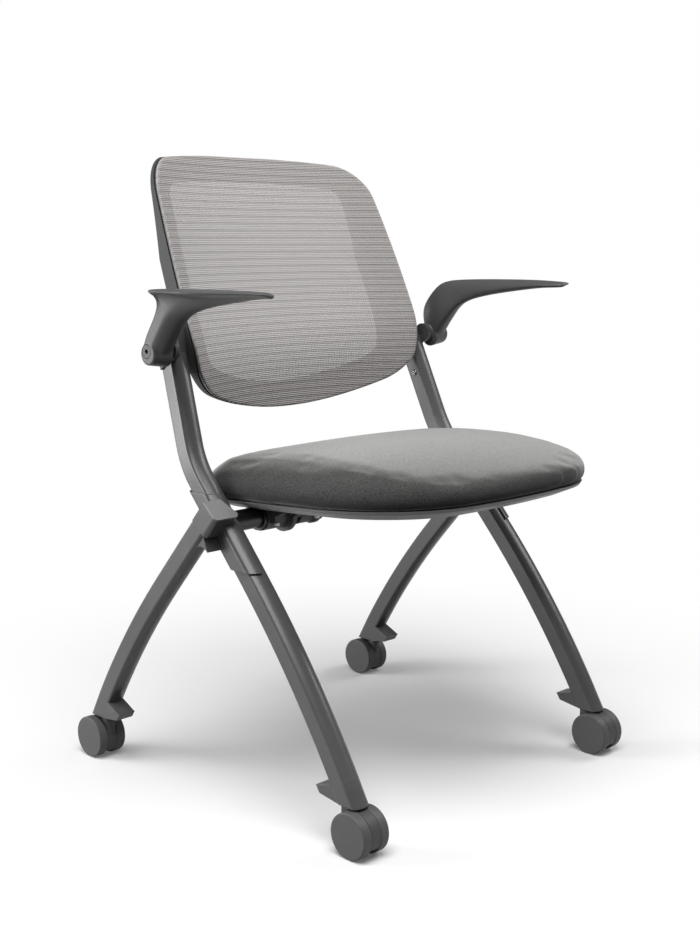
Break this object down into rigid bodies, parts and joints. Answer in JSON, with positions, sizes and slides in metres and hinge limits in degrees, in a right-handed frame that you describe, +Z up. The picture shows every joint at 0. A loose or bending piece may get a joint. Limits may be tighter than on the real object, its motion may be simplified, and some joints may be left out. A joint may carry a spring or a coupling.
{
  "type": "nesting chair",
  "caption": "Nesting chair with a flip-up upholstered seat, mesh back, flip-up arms, crossed bent legs and casters.",
  "frame": {"origin": "on the floor at the plan centre of the bounding box", "axes": "+X to the right of the sitter as seen from the front, +Y to the rear, +Z up; the chair faces -Y"},
  "size_m": [0.7006, 0.6022, 0.876],
  "materials": {
    "frame_paint": "satin powder coat",
    "light_cast": "satin powder coat",
    "dark_plastic": "fine matt texture",
    "wheel_plastic": "matt",
    "black_plastic": "matt",
    "steel": "dark zinc",
    "board": "plain plywood",
    "seat_fabric": "woven upholstery",
    "mesh_fabric": "stretched knitted mesh"
  },
  "bodies": {
    "frame": {"left_leg_tube": "frame_paint", "left_rear_leg": "frame_paint", "left_leg_cap": "light_cast", "left_front_foot": "frame_paint", "left_rear_foot": "frame_paint", "left_cross_tube_collar": "black_plastic", "left_seat_stop_tab": "frame_paint", "left_arm_bracket": "frame_paint", "left_arm_bolt": "steel", "right_leg_tube": "frame_paint", "right_rear_leg": "frame_paint", "right_leg_cap": "light_cast", "right_front_foot": "frame_paint", "right_rear_foot": "frame_paint", "right_cross_tube_collar": "black_plastic", "right_seat_stop_tab": "frame_paint", "right_arm_bracket": "frame_paint", "right_arm_bolt": "steel", "cross_tube": "frame_paint", "back_frame": "dark_plastic", "back_mesh_carrier": "dark_plastic", "back_mesh": "mesh_fabric", "back_frame_screws": "steel", "left_front_caster_stem": "steel", "left_rear_caster_stem": "steel", "right_front_caster_stem": "steel", "right_rear_caster_stem": "steel"},
    "seat": {"left_seat_hinge_bracket": "black_plastic", "left_seat_hinge_cap": "black_plastic", "right_seat_hinge_bracket": "black_plastic", "right_seat_hinge_cap": "black_plastic", "seat_hinge_screws": "steel", "seat_shell": "dark_plastic", "seat_board": "board", "seat_cushion": "seat_fabric"},
    "arm_left": {"left_arm": "dark_plastic"},
    "arm_right": {"right_arm": "dark_plastic"},
    "left_front_caster": {"left_front_caster_housing": "wheel_plastic", "left_front_caster_axle": "steel"},
    "left_front_caster_outer_wheel": {"left_front_caster_outer_wheel": "wheel_plastic"},
    "left_front_caster_inner_wheel": {"left_front_caster_inner_wheel": "wheel_plastic"},
    "left_rear_caster": {"left_rear_caster_housing": "wheel_plastic", "left_rear_caster_axle": "steel"},
    "left_rear_caster_outer_wheel": {"left_rear_caster_outer_wheel": "wheel_plastic"},
    "left_rear_caster_inner_wheel": {"left_rear_caster_inner_wheel": "wheel_plastic"},
    "right_front_caster": {"right_front_caster_housing": "wheel_plastic", "right_front_caster_axle": "steel"},
    "right_front_caster_outer_wheel": {"right_front_caster_outer_wheel": "wheel_plastic"},
    "right_front_caster_inner_wheel": {"right_front_caster_inner_wheel": "wheel_plastic"},
    "right_rear_caster": {"right_rear_caster_housing": "wheel_plastic", "right_rear_caster_axle": "steel"},
    "right_rear_caster_outer_wheel": {"right_rear_caster_outer_wheel": "wheel_plastic"},
    "right_rear_caster_inner_wheel": {"right_rear_caster_inner_wheel": "wheel_plastic"}
  },
  "joints": [
    {"name": "seat_flip", "type": "hinge", "parent": "frame", "child": "seat", "pos_m": [0, 0.013, 0.382], "axis": [-1, 0, 0], "range_deg": [0, 75]},
    {"name": "left_arm_flip", "type": "hinge", "parent": "frame", "child": "arm_left", "pos_m": [-0.275, 0.1177, 0.6054], "axis": [-1, 0, 0], "range_deg": [0, 95]},
    {"name": "right_arm_flip", "type": "hinge", "parent": "frame", "child": "arm_right", "pos_m": [0.275, 0.1177, 0.6054], "axis": [-1, 0, 0], "range_deg": [0, 95]},
    {"name": "left_front_caster_swivel", "type": "hinge", "parent": "frame", "child": "left_front_caster", "pos_m": [-0.2503, -0.2194, 0.05], "axis": [0, 0, 1], "continuous": true},
    {"name": "left_front_caster_outer_wheel_roll", "type": "hinge", "parent": "left_front_caster", "child": "left_front_caster_outer_wheel", "pos_m": [-0.2503, -0.2394, 0.03], "axis": [1, 0, 0], "continuous": true},
    {"name": "left_front_caster_inner_wheel_roll", "type": "hinge", "parent": "left_front_caster", "child": "left_front_caster_inner_wheel", "pos_m": [-0.2503, -0.2394, 0.03], "axis": [1, 0, 0], "continuous": true},
    {"name": "left_rear_caster_swivel", "type": "hinge", "parent": "frame", "child": "left_rear_caster", "pos_m": [-0.2794, 0.2518, 0.05], "axis": [0, 0, 1], "continuous": true},
    {"name": "left_rear_caster_outer_wheel_roll", "type": "hinge", "parent": "left_rear_caster", "child": "left_rear_caster_outer_wheel", "pos_m": [-0.2794, 0.2718, 0.03], "axis": [1, 0, 0], "continuous": true},
    {"name": "left_rear_caster_inner_wheel_roll", "type": "hinge", "parent": "left_rear_caster", "child": "left_rear_caster_inner_wheel", "pos_m": [-0.2794, 0.2718, 0.03], "axis": [1, 0, 0], "continuous": true},
    {"name": "right_front_caster_swivel", "type": "hinge", "parent": "frame", "child": "right_front_caster", "pos_m": [0.2503, -0.2194, 0.05], "axis": [0, 0, 1], "continuous": true},
    {"name": "right_front_caster_outer_wheel_roll", "type": "hinge", "parent": "right_front_caster", "child": "right_front_caster_outer_wheel", "pos_m": [0.2503, -0.2394, 0.03], "axis": [1, 0, 0], "continuous": true},
    {"name": "right_front_caster_inner_wheel_roll", "type": "hinge", "parent": "right_front_caster", "child": "right_front_caster_inner_wheel", "pos_m": [0.2503, -0.2394, 0.03], "axis": [1, 0, 0], "continuous": true},
    {"name": "right_rear_caster_swivel", "type": "hinge", "parent": "frame", "child": "right_rear_caster", "pos_m": [0.2794, 0.2518, 0.05], "axis": [0, 0, 1], "continuous": true},
    {"name": "right_rear_caster_outer_wheel_roll", "type": "hinge", "parent": "right_rear_caster", "child": "right_rear_caster_outer_wheel", "pos_m": [0.2794, 0.2718, 0.03], "axis": [1, 0, 0], "continuous": true},
    {"name": "right_rear_caster_inner_wheel_roll", "type": "hinge", "parent": "right_rear_caster", "child": "right_rear_caster_inner_wheel", "pos_m": [0.2794, 0.2718, 0.03], "axis": [1, 0, 0], "continuous": true}
  ]
}
